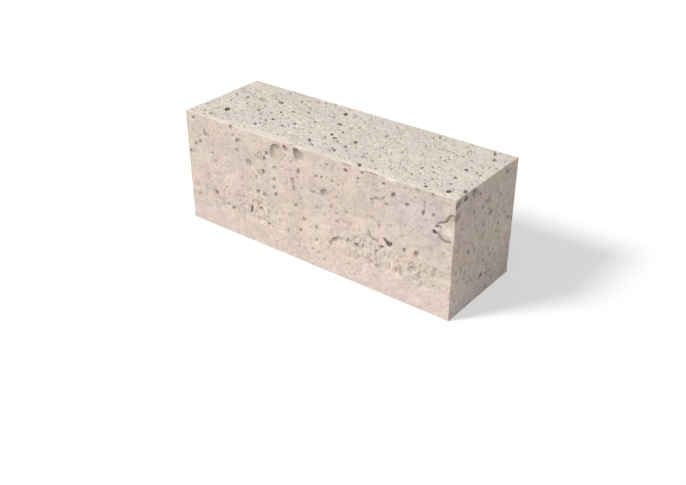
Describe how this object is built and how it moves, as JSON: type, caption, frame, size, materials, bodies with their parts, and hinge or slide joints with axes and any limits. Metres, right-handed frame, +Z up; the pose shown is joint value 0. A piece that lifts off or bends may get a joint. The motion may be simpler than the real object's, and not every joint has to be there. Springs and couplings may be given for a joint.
{
  "type": "concrete paver",
  "caption": "Solid rectangular cast concrete paver with square arrises, open air holes over every face and a small flake missing from one upright arris.",
  "frame": {"origin": "middle of the bed face, which the paver rests on", "axes": "+X along the length, +Y across the width towards the back face, +Z up from the bed face to the wearing face"},
  "size_m": [0.21, 0.07, 0.08],
  "materials": {
    "concrete": "matte"
  },
  "bodies": {
    "root": {"paver_block": "concrete"}
  },
  "joints": []
}
